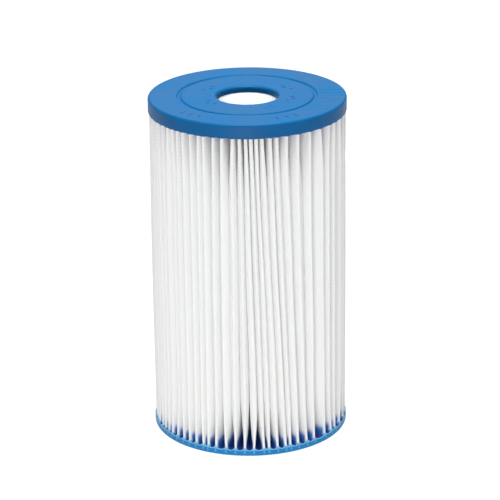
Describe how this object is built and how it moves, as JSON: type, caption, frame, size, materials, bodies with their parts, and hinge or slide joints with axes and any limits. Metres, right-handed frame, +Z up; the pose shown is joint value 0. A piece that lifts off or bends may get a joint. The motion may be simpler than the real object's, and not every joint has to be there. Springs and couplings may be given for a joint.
{
  "type": "filter cartridge",
  "caption": "Upright pleated cylinder of white filter cloth between two round blue cast end caps, with a plain round bore through both caps and a white cage core inside.",
  "frame": {"origin": "centre of the bottom cap's outer face, on the cartridge's axis", "axes": "+Z up the cartridge's axis from the thin bottom cap to the thick top cap; +X from the axis towards the cloth's side seam"},
  "size_m": [0.144, 0.144, 0.254],
  "materials": {
    "cast_vinyl": "satin",
    "spunbond_polyester": "matte",
    "hot_melt": "satin",
    "moulded_polypropylene": "satin"
  },
  "bodies": {
    "root": {"bottom_end_cap": "cast_vinyl", "top_end_cap": "cast_vinyl", "pleated_media": "spunbond_polyester", "media_side_seam": "hot_melt", "core_section_lower": "moulded_polypropylene", "core_section_middle": "moulded_polypropylene", "core_section_upper": "moulded_polypropylene"}
  },
  "joints": []
}
